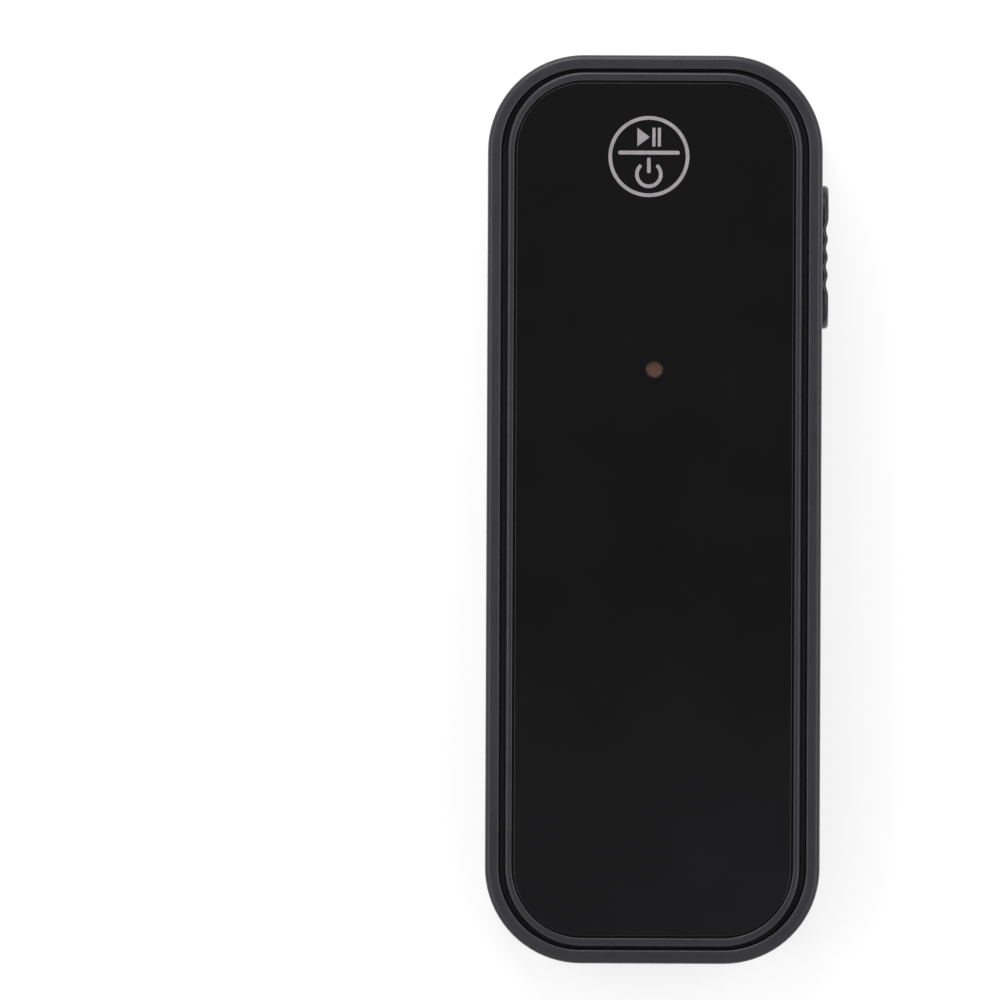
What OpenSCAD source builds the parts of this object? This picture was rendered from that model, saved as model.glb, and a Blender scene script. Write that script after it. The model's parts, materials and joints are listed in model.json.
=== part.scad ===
// Bluetooth audio receiver: a slim case with a gloss touch panel, a tilting volume key on
// its side, a 3.5 mm jack at one end and a USB-C socket at the other.
// It lies on its back: X across it, Y along it with the jack end at +Y, and Z up through
// the panel. The origin is the middle of the back face. Sizes are in millimetres.

/* [Case] */
// Width of the case, without the volume key
body_w = 25.8; // [24.5:0.1:32]
// Length of the case
body_l = 70; // [67:0.5:90]
// Thickness of the case, from the back face to the top of the rim
body_h = 12; // [11.6:0.1:14]
// Corner radius of the case, seen from the front
corner_r = 7.4; // [6.8:0.1:8.2]
// Rounding of the edge around the back
back_edge_r = 2; // [0.5:0.1:2.2]
// Rounding of the rim's outer edge
rim_edge_r = 0.5; // [0.1:0.05:0.8]
// Thickness of the back wall
back_wall = 1.3; // [1:0.1:1.6]
// Thickness of the side walls below the ledge
side_wall = 1.6; // [1.4:0.05:1.9]
// Width of the rim above the ledge
rim_w = 1.05; // [0.8:0.05:1.2]

/* [Front cover] */
// Clearance between the front cover's flange and the rim
cover_gap = 0.1; // [0.05:0.01:0.2]
// Width of the groove between the rim and the bezel, along the sides
groove_side = 0.5; // [0.3:0.05:0.7]
// Width of the same groove at the two ends
groove_end = 0.26; // [0.2:0.02:0.7]
// Depth of that groove below the rim
groove_depth = 1.4; // [0.8:0.1:1.6]
// Width of the bezel along the panel's sides
bezel_side = 0.5; // [0.4:0.02:0.8]
// Width of the bezel at the panel's two ends
bezel_end = 0.66; // [0.4:0.02:0.9]
// Depth of the bezel below the rim
bezel_drop = 0.1; // [0:0.05:0.3]
// Thickness of the cover's floor under the panel
cover_floor = 1; // [0.8:0.05:1.2]
// Snap hooks on each long side
hook_count = 3; // [2:1:4]
// Width of a snap hook
hook_w = 2.8; // [2:0.1:3.4]
// Thickness of a hook's arm
hook_t = 0.7; // [0.5:0.05:0.9]
// Length of a hook's arm below the cover
hook_l = 2.4; // [2:0.1:2.8]
// Reach of a hook's nose beyond its arm
hook_nose = 0.65; // [0.4:0.05:0.8]
// Height of a hook's nose
hook_nose_h = 0.9; // [0.6:0.05:1.1]
// Clearance of a hook's arm from the wall
hook_gap = 0.25; // [0.15:0.05:0.4]
// Clearance of a hook's nose in its pocket
pocket_gap = 0.1; // [0.05:0.01:0.2]

/* [Front panel] */
// Gap between the panel and the bezel
panel_gap = 0.16; // [0.08:0.02:0.3]
// Thickness of the panel
panel_t = 0.8; // [0.6:0.05:1]
// Depth of the panel below the bezel
panel_drop = 0.1; // [0:0.05:0.3]
// Thickness of the adhesive sheet under the panel
adhesive_t = 0.15; // [0.1:0.01:0.25]
// Margin of the adhesive sheet inside the panel's edge
adhesive_margin = 0.5; // [0.2:0.1:2]

/* [Microphone] */
// Distance of the microphone hole from the jack's end of the case
mic_inset = 24.2; // [23.6:0.1:35]
// Diameter of the hole in the panel
mic_hole_d = 1.12; // [0.6:0.02:1.6]
// Width of the chamfer around that hole
mic_chamfer = 0.13; // [0.05:0.01:0.3]
// Diameter of the sound channel in the cover and the boot
mic_channel_d = 1; // [0.6:0.1:1.4]
// Diameter of the mesh behind the panel
mesh_d = 3; // [2.4:0.1:4]
// Thickness of the mesh
mesh_t = 0.1; // [0.04:0.01:0.1]
// Clearance around the mesh in the adhesive
mesh_gap = 0.3; // [0.1:0.05:0.5]
// Length, width and height of the microphone capsule
mic_size = [3.5, 2.65, 1]; // [0.8:0.05:4]
// Diameter of the rubber boot
boot_d = 4.4; // [3:0.1:5]

/* [Volume key] */
// Distance of the key's centre from the jack's end of the case
key_inset = 15.5; // [14.6:0.1:16.4]
// Length of the key
key_l = 11.05; // [10:0.05:12]
// Height of the key, across the thickness of the case
key_h = 4.4; // [4:0.1:4.8]
// Height that the key stands out of the case
key_proud = 0.52; // [0.35:0.05:0.9]
// Rounding of the key's outer edge
key_edge_r = 0.3; // [0.1:0.05:0.5]
// Clearance around the key in its slot
key_gap = 0.25; // [0.2:0.01:0.4]
// Length of the retaining lip beyond each end of the key
key_lip = 1; // [0.6:0.1:1.2]
// Thickness of the retaining lip
key_lip_t = 0.5; // [0.4:0.05:0.7]
// Tilt of the key each way, in degrees
key_tilt = 3; // [1:0.1:3.2]
// Grip grooves across the key
grip_count = 4; // [2:1:5]
// Distance between two grip grooves
grip_pitch = 1.4; // [1.1:0.05:1.6]
// Width of a grip groove
grip_w = 1; // [0.5:0.05:1.1]
// Depth of a grip groove
grip_depth = 0.2; // [0.08:0.01:0.3]
// Diameter of the key's pivot pins
pivot_d = 1.2; // [1:0.05:1.4]
// Radial clearance of the pivot pins in their holes
pivot_fit = 0.05; // [0.02:0.01:0.1]
// Length of each pivot pin
pivot_l = 1; // [0.6:0.05:1.1]
// Wall around each pivot hole
pivot_wall = 0.5; // [0.4:0.05:0.6]
// Distance of each press point from the pivot, along the case
press_y = 3.9; // [3.5:0.1:4.2]
// Diameter of the pressing ribs inside the key
press_d = 1.2; // [0.8:0.1:1.4]

/* [Switches] */
// Depth of a switch from its back to its front
switch_d = 2.9; // [2.6:0.1:3.2]
// Width of a switch along the board's edge
switch_w = 3.9; // [3.6:0.1:4.4]
// Height of a switch above the board
switch_h = 1.9; // [1.7:0.1:2.1]
// Thickness of a switch's metal cover
sheet_t = 0.15; // [0.1:0.01:0.2]
// Width of a switch's stem
stem_w = 1.3; // [1:0.1:1.6]
// Height of a switch's stem
stem_h = 0.8; // [0.6:0.05:0.9]
// Length of the stem in front of the switch
stem_out = 0.6; // [0.5:0.05:0.8]
// Thickness of the snap dome
dome_t = 0.08; // [0.05:0.01:0.12]

/* [Jack] */
// Diameter of the plug hole
jack_d = 3.6; // [3.55:0.01:3.7]
// Outer diameter of the ferrule
ferrule_d = 5.2; // [4.6:0.1:5.6]
// Length of the ferrule's tube
ferrule_l = 3.35; // [3.2:0.05:4]
// Thickness of the flange at the ferrule's inner end
ferrule_flange_t = 0.4; // [0.3:0.05:0.6]
// Depth of the ferrule's mouth below the end face
ferrule_recess = 0.15; // [0:0.05:0.4]
// Clearance around the ferrule in the case
ferrule_gap = 0.1; // [0.05:0.01:0.2]
// Width of the jack's housing
jack_w = 6.4; // [6:0.1:7]
// Height of the jack's housing
jack_h = 5.2; // [5:0.1:5.6]
// Length of the plug behind the end face
plug_l = 14; // [14:0.1:14.5]
// Thickness of the contact springs
contact_t = 0.25; // [0.15:0.01:0.3]
// Height of the contact springs
contact_h = 1.4; // [1:0.1:1.8]

/* [USB socket] */
// Width of the socket's shell
usb_w = 8.94; // [8.9:0.01:9.1]
// Height of the socket's shell
usb_h = 3.26; // [3.2:0.01:3.4]
// Length of the socket's shell
usb_l = 7.35; // [6.8:0.05:8]
// Thickness of the shell's sheet
usb_sheet = 0.3; // [0.2:0.01:0.35]
// Depth of the socket's mouth below the end face
usb_recess = 0.2; // [0:0.05:0.5]
// Clearance around the shell in the case
usb_gap = 0.2; // [0.1:0.05:0.3]
// Width of the tongue
tongue_w = 6.69; // [6.5:0.01:6.8]
// Thickness of the tongue
tongue_t = 0.7; // [0.6:0.01:0.75]
// Length of the tongue
tongue_l = 4.45; // [4.2:0.05:4.8]
// Depth of the tongue's tip behind the socket's mouth
tongue_setback = 1.05; // [0.9:0.05:1.2]
// Contacts on each face of the tongue
usb_pins = 12; // [6:1:12]
// Distance between two contacts
usb_pitch = 0.5; // [0.4:0.01:0.55]
// Width, length and thickness of a contact
usb_contact = [0.25, 3.4, 0.05]; // [0.03:0.01:3.8]
// Distance of the contacts from the tongue's tip
usb_contact_setback = 0.4; // [0.2:0.05:0.6]

/* [Board] */
// Height of the board's underside above the back face
board_z = 5.2; // [5:0.05:5.4]
// Thickness of the board
board_t = 0.8; // [0.6:0.1:1]
// Clearance between the board and the side walls
board_gap = 0.6; // [0.3:0.1:0.8]
// Room past the jack's end of the board, for sliding it in
slide_room = 1.8; // [1.6:0.1:2.2]
// Clearance of the sockets in the board's notches
notch_gap = 0.1; // [0.05:0.05:0.3]
// Distance of the screws from the long centre line
screw_x = 7.8; // [7:0.1:7.9]
// Diameter of the board screws
screw_d = 1.4; // [1.2:0.1:1.6]
// Length of the board screws under the head
screw_l = 3.2; // [2:0.1:3.4]
// Diameter of the screw heads
screw_head_d = 2.6; // [2.2:0.1:2.8]
// Height of the screw heads
screw_head_h = 0.8; // [0.5:0.1:1]
// Wall around a screw in its boss
boss_wall = 0.9; // [0.6:0.1:1]
// Length, width and height of the radio chip
radio_size = [6, 6, 0.9]; // [0.5:0.1:7]
// Length, width and height of the charging chip
charger_size = [3, 3, 0.8]; // [0.5:0.1:4]
// Length, width and height of the crystal
crystal_size = [3.2, 2.5, 0.7]; // [0.5:0.1:4]
// Size of the chip antenna across the board, along it and upwards
antenna_size = [2, 5.2, 1.1]; // [0.5:0.1:5.6]
// Length, width and height of the inductor
inductor_size = [3, 3, 1.5]; // [0.5:0.1:4]
// Length, width and height of the indicator light
led_size = [1.6, 0.8, 0.6]; // [0.3:0.1:2]
// Size of a capacitor across the board, along it and upwards
capacitor_size = [0.5, 1, 0.5]; // [0.3:0.1:1.2]

/* [Touch key] */
// Diameter of the touch electrode
touch_d = 6.4; // [5:0.1:7]
// Distance of the electrode's centre from the long centre line
touch_x = -0.5; // [-1:0.1:1]
// Distance of the electrode's centre from the jack's end of the case
touch_inset = 7.8; // [7.6:0.1:9]
// Distance from the electrode's centre to the contact spring
spring_reach = 6.7; // [6.2:0.1:7.2]
// Thickness of the electrode foil
touch_t = 0.1; // [0.05:0.01:0.15]
// Diameter of the contact spring, outside
spring_d = 2.4; // [2:0.1:2.8]
// Diameter of the spring's wire
spring_wire = 0.3; // [0.2:0.05:0.4]
// Turns of the spring
spring_turns = 5; // [3:1:6]

/* [Battery] */
// Width of the cell
cell_w = 18; // [14:0.1:18.6]
// Rounding of the cell's long edges
cell_edge_r = 0.8; // [0.3:0.1:1.2]
// Thickness of the tape under the cell
tape_t = 0.15; // [0.1:0.05:0.3]
// Clearance above the cell
cell_headroom = 0.4; // [0.3:0.05:0.8]
// Clearance at each end of the cell
cell_gap = 0.5; // [0.3:0.1:1]
// Room for the leads between the cell and the USB socket
lead_room = 4.6; // [4.4:0.1:6]
// Width of the protection board
guard_w = 10; // [6:0.1:10.4]
// Thickness of the protection board
guard_t = 0.8; // [0.6:0.1:1]
// Diameter of a lead
lead_d = 0.8; // [0.6:0.05:0.9]

/* [Hidden] */
$fn = 64;
// Depth that a cut or a joined piece goes past a face
over = 0.2;

half_w = body_w / 2;
half_l = body_l / 2;

// Places along the case, counted from its middle
mic_y = half_l - mic_inset;
key_y = half_l - key_inset;
touch_y = half_l - touch_inset;

// Inner faces of the walls
wall_x = half_w - side_wall;
wall_y = half_l - side_wall;

// Levels, from the rim down
bezel_z = body_h - bezel_drop;
panel_top = bezel_z - panel_drop;
panel_z = panel_top - panel_t;
adhesive_z = panel_z - adhesive_t;
cover_z = adhesive_z - cover_floor;
groove_z = body_h - groove_depth;

// Insets of the bezel and the panel from the case's outline
flange_inset = rim_w + cover_gap;
bezel_inset = [rim_w + groove_side, rim_w + groove_end];
recess_inset = [bezel_inset.x + bezel_side, bezel_inset.y + bezel_end];
panel_inset = [recess_inset.x + panel_gap, recess_inset.y + panel_gap];

// Board, with both sockets and the volume key centred on its top face
board_top = board_z + board_t;
port_z = board_top;
board_end = wall_y - slide_room;
board_start = board_gap - wall_y;
board_r = corner_r - side_wall - board_gap;

// Jack: the ferrule's mouth, the housing's front and back, and the plug's tip
ferrule_mouth = half_l - ferrule_recess;
jack_front = ferrule_mouth - ferrule_l;
plug_r = 1.75;
plug_clear = 0.4;
plug_end = half_l - plug_l - plug_clear;
jack_back_wall = 1.9;
jack_back = plug_end - jack_back_wall;
plug_bore_r = jack_d / 2 + 0.2;

// USB socket: its mouth and its back
usb_mouth = usb_recess - half_l;
usb_back = usb_mouth + usb_l;

// Volume key, from its pivot outwards
pivot_r = pivot_d / 2;
pivot_hole_r = pivot_r + pivot_fit;
pivot_boss_r = pivot_hole_r + pivot_wall;
pivot_boss_gap = 0.15;
pivot_x = wall_x - pivot_boss_gap - pivot_boss_r;
pivot_end_play = 0.1;
lip_half = key_l / 2 + key_lip;
lip_stop_gap = 0.05;
lip_x = wall_x - lip_half * sin(key_tilt) - lip_stop_gap - key_lip_t;
hub_wall = 0.35;

// Switches: the tip and the front of the stem, and the travel of the press point
press_gap = 0.05;
stem_tip_x = lip_x - press_d / 2 - press_gap;
switch_x = stem_tip_x - stem_out;
stem_travel = press_y * sin(key_tilt);
stem_z = switch_h / 2;
stem_play = 0.1;
chamber_wall = 0.3;
chamber_back = switch_d - 2 * chamber_wall;
dome_rise = 0.35;

// Screws at the three corners of the board that are free
screw_r = screw_d / 2;
screw_fit = 0.02;
boss_r = screw_r + boss_wall;
cell_y1 = jack_back - cell_gap;
cell_y0 = usb_back + lead_room;
screws = [
    [-screw_x, cell_y1 + cell_gap + boss_r],
    [-screw_x, cell_y0 - cell_gap - boss_r],
    [screw_x, cell_y0 - cell_gap - boss_r],
];

// Cell between its tape and the board
cell_z = back_wall + tape_t;
cell_t = board_z - cell_headroom - cell_z;
cell_l = cell_y1 - cell_y0;
guard_gap = 0.1;
guard_y = cell_y0 - guard_gap - guard_t;
guard_h = cell_t - 2 * guard_gap;

// Places on the board: the antenna at its left edge, and the chips in line beside it
antenna_gap = 0.3;
antenna_y = 1.3;
chip_gap = 0.8;
row_gap = 6;
antenna_at = [board_gap - wall_x + antenna_gap + antenna_size.x / 2, antenna_y];
radio_at = [antenna_at.x + (antenna_size.x + radio_size.x) / 2 + chip_gap, antenna_at.y];
crystal_at = [radio_at.x + (radio_size.x + crystal_size.x) / 2 + chip_gap, radio_at.y];
charger_at = [radio_at.x, radio_at.y - (radio_size.y + charger_size.y) / 2 - row_gap];
inductor_at = [-radio_at.x, charger_at.y];
led_gap = 3;
led_at = [0, usb_back + led_gap + led_size.y / 2];
spring_at = [touch_x - spring_reach, touch_y];
led_hole_r = 0.6;
touch_gap = 0.1;
tail_round = 0.3;

// Hooks, spread between the lower corner and the volume key
hook_low = corner_r + hook_w - half_l;
hook_high = key_y - lip_half - hook_w;
hook_ys = [for (i = [0:hook_count - 1]) hook_low + i * (hook_high - hook_low) / (hook_count - 1)];

// ---- Shapes used by several pieces ----

// Outline of the case, moved in by one distance at the sides and another at the ends
module outline(side, end) {
    r = corner_r - side;
    w = body_w - 2 * side;
    l = body_l - 2 * end;
    rounded_rect(w, l, r);
}

// Rectangle with true round corners, centred
module rounded_rect(w, l, r) {
    square([w - 2 * r, l], center = true);
    square([w, l - 2 * r], center = true);
    for (x = [-1, 1], y = [-1, 1])
        translate([x * (w / 2 - r), y * (l / 2 - r)]) circle(r);
}

// Rectangle with half-round ends, centred
module stadium(l, w) {
    square([l - w, w], center = true);
    for (side = [-1, 1]) translate([side * (l - w) / 2, 0]) circle(w / 2);
}

// Section of a wall from its inner side at x = 0 to a face at x = r, with round edges
module edge_section(r, h, low_r, high_r) {
    translate([0, low_r]) square([r, h - low_r - high_r]);
    square([r - low_r, low_r]);
    translate([0, h - high_r]) square([r - high_r, high_r]);
    translate([r - low_r, low_r]) circle(low_r);
    translate([r - high_r, h - high_r]) circle(high_r);
}

// Block with round corners in plan, and round edges at its foot and its top
module rounded_block(w, l, h, r, low_r, high_r) {
    core = [w - 2 * r, l - 2 * r];
    linear_extrude(h) square(core, center = true);
    for (side = [0, 1]) rotate(180 * side) {
        translate([core.x / 2, core.y / 2, 0]) rotate([90, 0, 0])
            linear_extrude(core.y) edge_section(r, h, low_r, high_r);
        translate([-core.x / 2, core.y / 2, 0]) rotate([90, 0, 90])
            linear_extrude(core.x) edge_section(r, h, low_r, high_r);
        translate([core.x / 2, core.y / 2, 0])
            rotate_extrude(angle = 90) edge_section(r, h, low_r, high_r);
        translate([-core.x / 2, core.y / 2, 0]) rotate(90)
            rotate_extrude(angle = 90) edge_section(r, h, low_r, high_r);
    }
}

// Turns a shape so that its X runs along the case, its Y upwards and its Z out of the side
module against_side() {
    rotate([90, 0, 90]) children();
}

// Turns a shape so that its X runs across the case, its Y upwards and its Z towards -Y
module against_end() {
    rotate([90, 0, 0]) children();
}

// Plate with half-round ends, l long, w wide and t thick, its outer edge rounded
module pill(l, w, t, edge_r) {
    r = w / 2;
    module half_section() {
        square([r, t - edge_r]);
        translate([0, t - edge_r]) square([r - edge_r, edge_r]);
        translate([r - edge_r, t - edge_r]) circle(edge_r);
    }
    for (side = [0, 1]) rotate(180 * side)
        translate([l / 2 - r, 0, 0]) rotate(-90) rotate_extrude(angle = 180) half_section();
    rotate([90, 0, 90]) linear_extrude(l - 2 * r, center = true) {
        half_section();
        mirror([1, 0]) half_section();
    }
}

// Box that stands on the board, centred on a place in plan
module on_board(place, size) {
    translate([place.x, place.y, board_top + size.z / 2]) cube(size, center = true);
}

// Places its children at a switch: X out of the case, Z up from the board
module at_switch(side) {
    translate([switch_x, key_y + side * press_y, board_top]) children();
}

// Point and direction on a cubic curve with the control points p
function curve_point(p, t) =
    pow(1 - t, 3) * p[0] + 3 * t * pow(1 - t, 2) * p[1] + 3 * t * t * (1 - t) * p[2] + t * t * t * p[3];
function curve_direction(p, t) =
    pow(1 - t, 2) * (p[1] - p[0]) + 2 * t * (1 - t) * (p[2] - p[1]) + t * t * (p[3] - p[2]);
function unit(v) = v / norm(v);

// Ring of a tube around a point, square to a direction, seen against a side vector
function tube_ring(centre, direction, side, r, sides) =
    let (u = unit(cross(direction, side)), v = unit(cross(direction, u)))
    [for (i = [0:sides - 1]) centre + r * (cos(360 * i / sides) * u + sin(360 * i / sides) * v)];

// Closed tube through a list of rings that each have the same number of points
module tube(rings) {
    sides = len(rings[0]);
    last = len(rings) - 1;
    points = [for (ring = rings) each ring];
    walls = [for (k = [0:last - 1], i = [0:sides - 1]) let (j = (i + 1) % sides)
        each [
            [k * sides + i, k * sides + j, (k + 1) * sides + j],
            [k * sides + i, (k + 1) * sides + j, (k + 1) * sides + i],
        ]];
    ends = [
        [for (i = [sides - 1:-1:0]) i],
        [for (i = [0:sides - 1]) last * sides + i],
    ];
    polyhedron(points, concat(walls, ends));
}

// ---- Case ----

module back_shell() color("#2e2d31") difference() {
    union() {
        difference() {
            rounded_block(body_w, body_l, body_h, corner_r, back_edge_r, rim_edge_r);
            translate([0, 0, back_wall]) linear_extrude(body_h) outline(side_wall, side_wall);
            translate([0, 0, cover_z]) linear_extrude(body_h) outline(rim_w, rim_w);
        }
        for (place = screws) translate([place.x, place.y, back_wall - over])
            cylinder(r = boss_r, h = board_z - back_wall + over);
        translate([pivot_x, key_y, back_wall - over])
            cylinder(r = pivot_boss_r, h = port_z - key_h / 2 - pivot_end_play - back_wall + over);
    }
    screw_holes();
    translate([pivot_x, key_y, port_z - key_h / 2 - 2 * pivot_end_play - pivot_l])
        cylinder(r = pivot_hole_r, h = pivot_l + 2 * pivot_end_play);
    translate([0, half_l + over, port_z]) against_end()
        cylinder(d = ferrule_d + 2 * ferrule_gap, h = side_wall + 2 * over);
    translate([0, over - wall_y, port_z]) against_end()
        linear_extrude(side_wall + 2 * over) stadium(usb_w + 2 * usb_gap, usb_h + 2 * usb_gap);
    translate([wall_x - over, key_y, port_z]) against_side()
        linear_extrude(side_wall + 2 * over) stadium(key_l + 2 * key_gap, key_h + 2 * key_gap);
    for (side = [-1, 1], y = hook_ys) hook_pocket(side, y);
}

// Holes of the board screws in their bosses
module screw_holes() {
    depth = screw_l - board_t + over;
    for (place = screws) translate([place.x, place.y, board_z - depth])
        cylinder(r = screw_r + screw_fit, h = depth);
}

// Pocket in a side wall for a hook's nose
module hook_pocket(side, y) {
    depth = hook_nose - hook_gap + pocket_gap;
    size = [2 * depth, hook_w + 4 * pocket_gap, hook_nose_h + 2 * pocket_gap];
    translate([side * wall_x, y, cover_z - hook_l + hook_nose_h / 2]) cube(size, center = true);
}

module front_cover() color("#3c3b3f") {
    difference() {
        union() {
            translate([0, 0, cover_z]) linear_extrude(groove_z - cover_z)
                outline(flange_inset, flange_inset);
            translate([0, 0, cover_z]) linear_extrude(bezel_z - cover_z)
                outline(bezel_inset.x, bezel_inset.y);
            translate([pivot_x, key_y, port_z + key_h / 2 + pivot_end_play])
                cylinder(r = pivot_boss_r, h = cover_z + over - port_z - key_h / 2 - pivot_end_play);
            for (side = [-1, 1], y = hook_ys) hook(side, y);
        }
        translate([0, 0, adhesive_z]) linear_extrude(body_h)
            outline(recess_inset.x, recess_inset.y);
        translate([pivot_x, key_y, port_z + key_h / 2])
            cylinder(r = pivot_hole_r, h = pivot_l + 2 * pivot_end_play);
        translate([0, mic_y, cover_z - over]) cylinder(d = mic_channel_d, h = cover_floor + 2 * over);
        translate([led_at.x, led_at.y, cover_z - over]) cylinder(r = led_hole_r, h = cover_floor + 2 * over);
        translate([0, 0, cover_z - over]) linear_extrude(touch_t + over) touch_outline(touch_gap);
    }
}

// Snap hook under the cover: a straight arm with a wedge that points at the side wall
module hook(side, y) {
    arm_x = wall_x - hook_gap - hook_t;
    translate([0, y + hook_w / 2, cover_z]) mirror([side < 0 ? 1 : 0, 0, 0]) rotate([90, 0, 0])
        linear_extrude(hook_w) polygon([
            [arm_x, over], [arm_x, -hook_l], [arm_x + hook_t, -hook_l],
            [arm_x + hook_t + hook_nose, -hook_l + hook_nose_h],
            [arm_x + hook_t, -hook_l + hook_nose_h], [arm_x + hook_t, over],
        ]);
}

module panel_adhesive() color("#1b1b1b") {
    translate([0, 0, adhesive_z]) linear_extrude(adhesive_t) difference() {
        outline(panel_inset.x + adhesive_margin, panel_inset.y + adhesive_margin);
        translate([0, mic_y]) circle(d = mesh_d + 2 * mesh_gap);
        translate(led_at) circle(led_hole_r);
    }
}

module front_panel() color("#151315") {
    translate([0, 0, panel_z]) difference() {
        linear_extrude(panel_t) outline(panel_inset.x, panel_inset.y);
        translate([0, mic_y, -over]) cylinder(d = mic_hole_d, h = panel_t + 2 * over);
        translate([0, mic_y, panel_t - mic_chamfer])
            cylinder(d1 = mic_hole_d, d2 = mic_hole_d + 4 * mic_chamfer, h = 2 * mic_chamfer);
    }
}

// ---- Volume key and its switches ----

module volume_rocker() color("#2b2a2d") {
    grip_r = grip_w * grip_w / 8 / grip_depth + grip_depth / 2;
    face_x = half_w + key_proud;
    translate([lip_x, key_y, port_z]) difference() {
        against_side() {
            pill(key_l, key_h, face_x - lip_x, key_edge_r);
            linear_extrude(key_lip_t) stadium(2 * lip_half, key_h);
        }
        for (i = [0:grip_count - 1])
            translate([face_x - lip_x - grip_depth + grip_r, (i - (grip_count - 1) / 2) * grip_pitch, 0])
                cylinder(r = grip_r, h = key_h + 2 * over, center = true);
    }
    translate([pivot_x, key_y, port_z]) {
        cylinder(r = pivot_r + hub_wall, h = key_h, center = true);
        cylinder(r = pivot_r, h = key_h + 2 * pivot_l, center = true);
    }
    for (side = [-1, 1]) translate([lip_x, key_y + side * press_y, board_top + stem_z])
        cylinder(d = press_d, h = 2 * stem_h, center = true);
}

module switch_housing(side) color("#1d1d1f") at_switch(side) difference() {
    width = switch_w - 2 * sheet_t;
    chamber = [switch_d, width - 2 * chamber_wall, switch_h - 2 * chamber_wall];
    translate([-switch_d, -width / 2, 0]) cube([switch_d - sheet_t, width, switch_h]);
    translate([-chamber_back, -chamber.y / 2, chamber_wall]) cube(chamber);
}

module switch_cover(side) color("#b9b9b4") at_switch(side) difference() {
    wrap = switch_d / 2;
    window = [2 * over + sheet_t, stem_w + 2 * stem_play, stem_h + 2 * stem_play];
    translate([-wrap, -switch_w / 2, 0]) cube([wrap, switch_w, switch_h]);
    translate([-wrap - over, sheet_t - switch_w / 2, -over])
        cube([wrap + over - sheet_t, switch_w - 2 * sheet_t, switch_h + 2 * over]);
    translate([-sheet_t - over, -window.y / 2, stem_z - window.z / 2]) cube(window);
}

// Arched strip across the switch's chamber, its ends on the back of the chamber
module switch_dome(side) color("#c9a24b") at_switch(side) {
    span = switch_w - 2 * sheet_t - 3 * chamber_wall;
    bend_r = span * span / 8 / dome_rise + dome_rise / 2;
    translate([dome_rise - chamber_back - bend_r, 0, stem_z - stem_h / 2])
        intersection() {
            difference() {
                cylinder(r = bend_r, h = stem_h);
                translate([0, 0, -over]) cylinder(r = bend_r - dome_t, h = stem_h + 2 * over);
            }
            translate([bend_r - dome_rise, -span / 2, 0]) cube([dome_rise, span, stem_h]);
        }
}

module switch_stem(side) color("#e6e3dc") at_switch(side) {
    head_t = 0.4;
    head_x = -sheet_t - stem_travel - stem_play - head_t;
    head_w = stem_w + 6 * stem_play;
    tip_x = dome_rise - chamber_back + stem_travel + stem_play;
    translate([tip_x, -stem_w / 4, stem_z - stem_h / 4])
        cube([head_x + head_t - tip_x, stem_w / 2, stem_h / 2]);
    translate([head_x, -head_w / 2, stem_z - stem_h / 2]) cube([head_t, head_w, stem_h]);
    translate([head_x, -stem_w / 2, stem_z - stem_h / 2]) cube([stem_out - head_x, stem_w, stem_h]);
}

// ---- Audio jack ----

// Contact springs: the side that each one stands on and the middle of its bump
contact_l = 3;
contact_step = 3.2;
contact_end_gap = 0.5;
contact_tip = [1, plug_end + contact_end_gap + contact_l / 2];
contact_ring = [-1, contact_tip[1] + contact_step];
contact_sleeve = [1, jack_front - contact_end_gap - contact_l / 2];
contact_x = 2.35;
contact_touch = 0.05;
contact_gap = 0.1;
foot_w = 1.2;
foot_reach = 1.2;

module jack_housing() color("#1a1a1c") difference() {
    translate([-jack_w / 2, jack_back, port_z - jack_h / 2])
        cube([jack_w, jack_front - jack_back, jack_h]);
    translate([0, jack_front + over, port_z]) against_end()
        cylinder(r = plug_bore_r, h = jack_front + over - plug_end);
    for (contact = [contact_tip, contact_ring, contact_sleeve]) contact_pocket(contact);
}

// Room for one contact spring beside the plug hole, and for its foot through the wall
module contact_pocket(contact) {
    height = contact_h + 2 * contact_gap;
    depth = contact_x + contact_t + contact_gap;
    length = contact_l + 2 * contact_gap;
    foot_h = contact_t + 2 * contact_gap;
    scale([contact[0], 1, 1]) translate([0, contact[1], port_z]) {
        translate([0, -length / 2, -height / 2]) cube([depth, length, height]);
        translate([0, -foot_w / 2 - contact_gap, -contact_gap])
            cube([jack_w, foot_w + 2 * contact_gap, foot_h]);
    }
}

module jack_ferrule() color("#c8c8c6") difference() {
    union() {
        translate([0, ferrule_mouth, port_z]) against_end() cylinder(d = ferrule_d, h = ferrule_l);
        translate([0, jack_front + ferrule_flange_t, port_z]) against_end()
            cylinder(d = ferrule_d + 2 * ferrule_flange_t, h = ferrule_flange_t);
    }
    translate([0, ferrule_mouth + over, port_z]) against_end()
        cylinder(d = jack_d, h = ferrule_l + 2 * over);
}

// Leaf beside the plug with a round bump that reaches it, and a foot out to the board
module jack_contact(contact) color("#c9a24b") {
    bump_r = 0.7;
    leaf_x = contact_x + contact_t / 2;
    scale([contact[0], 1, 1]) translate([0, contact[1], port_z]) {
        translate([contact_x, -contact_l / 2, -contact_h / 2]) cube([contact_t, contact_l, contact_h]);
        intersection() {
            translate([plug_r - contact_touch + bump_r, 0, 0])
                cylinder(r = bump_r, h = contact_h, center = true);
            translate([0, -contact_l / 2, -contact_h / 2]) cube([leaf_x, contact_l, contact_h]);
        }
        translate([leaf_x, -foot_w / 2, 0])
            cube([jack_w / 2 + foot_reach - leaf_x, foot_w, contact_t]);
    }
}

// ---- USB socket ----

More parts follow.
